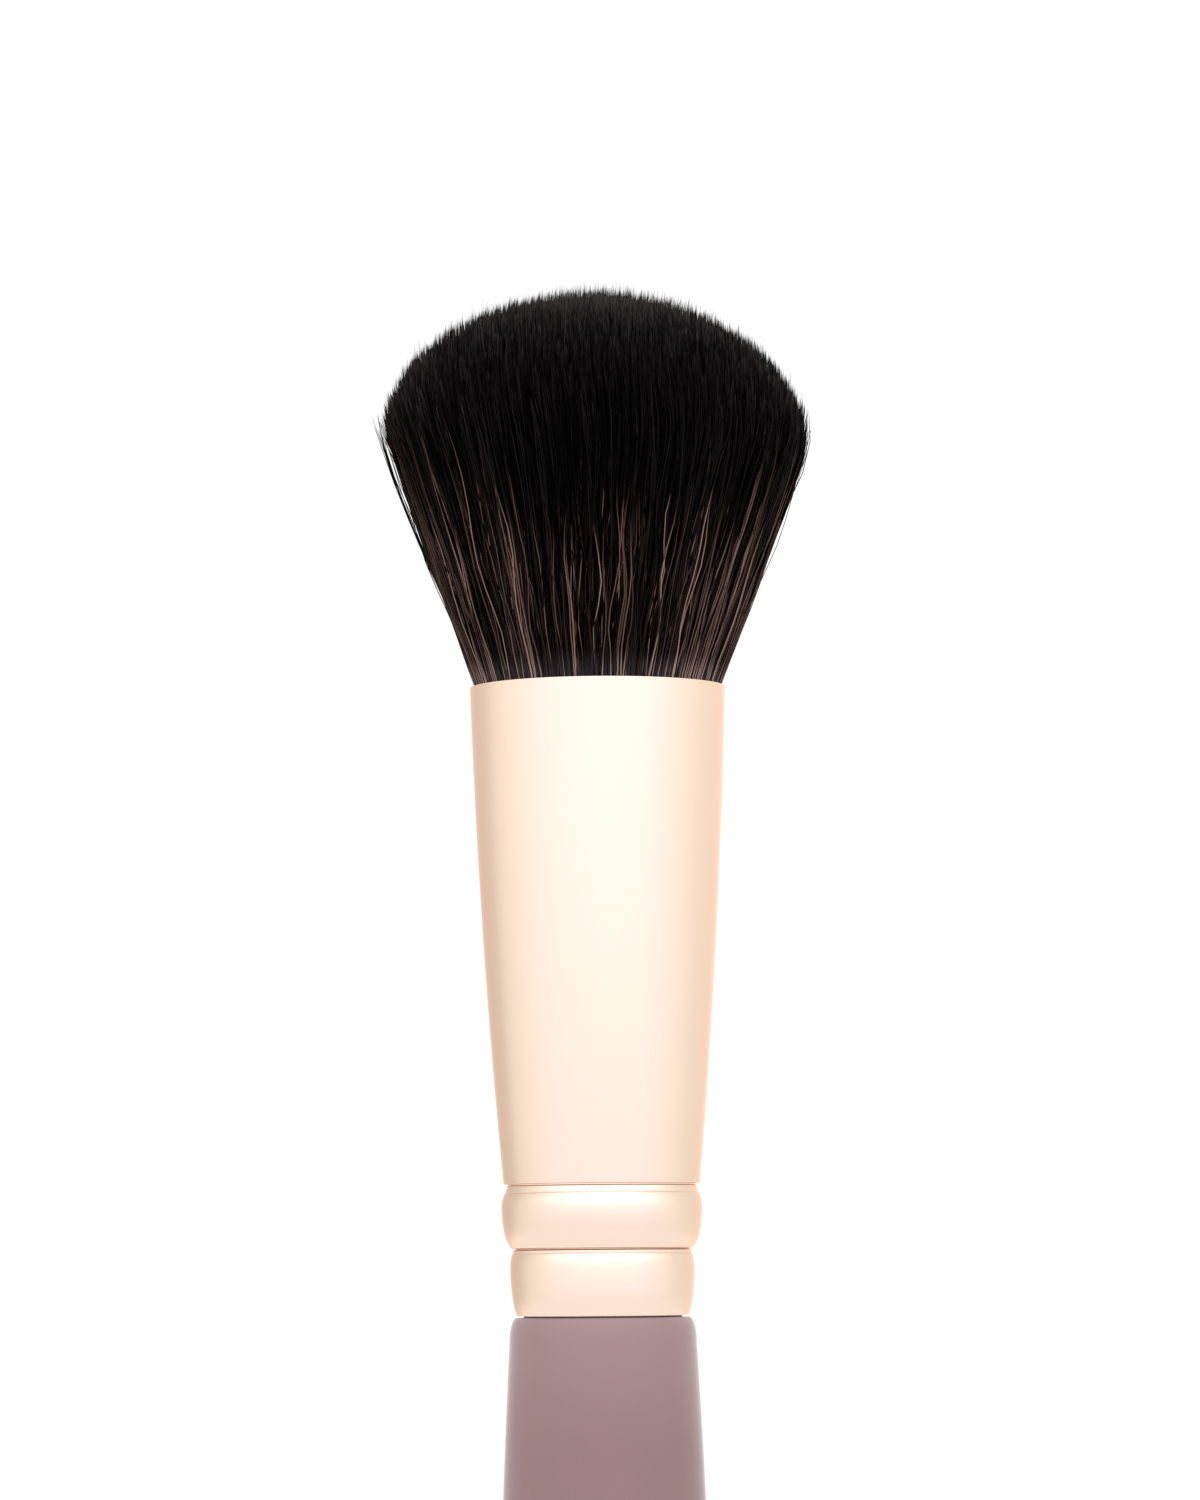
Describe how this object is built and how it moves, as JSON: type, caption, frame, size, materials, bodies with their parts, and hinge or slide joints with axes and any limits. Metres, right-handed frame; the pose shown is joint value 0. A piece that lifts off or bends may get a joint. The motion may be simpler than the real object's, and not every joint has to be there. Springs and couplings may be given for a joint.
{
  "type": "blush brush",
  "caption": "Round domed make-up brush: dense flared bristle head in a rolled metal ferrule on a slim turned handle.",
  "frame": {"origin": "centre of the small flat at the handle's butt", "axes": "+Z along the brush's axis from the butt to the bristles; the brush is round, so X and Y are free"},
  "size_m": [0.0334, 0.0334, 0.1793],
  "materials": {
    "handle_coat": "turned wood under a smooth matte mauve coat",
    "ferrule_metal": "satin champagne anodised",
    "bristle_fibre": "fine synthetic fibre, near black with brown fibres in the lower half",
    "glue": "hardened clear amber epoxy",
    "thread": "waxed cotton thread"
  },
  "bodies": {
    "root": {"handle": "handle_coat", "ferrule": "ferrule_metal", "bristles": "bristle_fibre", "glue_plug": "glue", "binding_thread": "thread", "tenon_glue": "glue"}
  },
  "joints": []
}
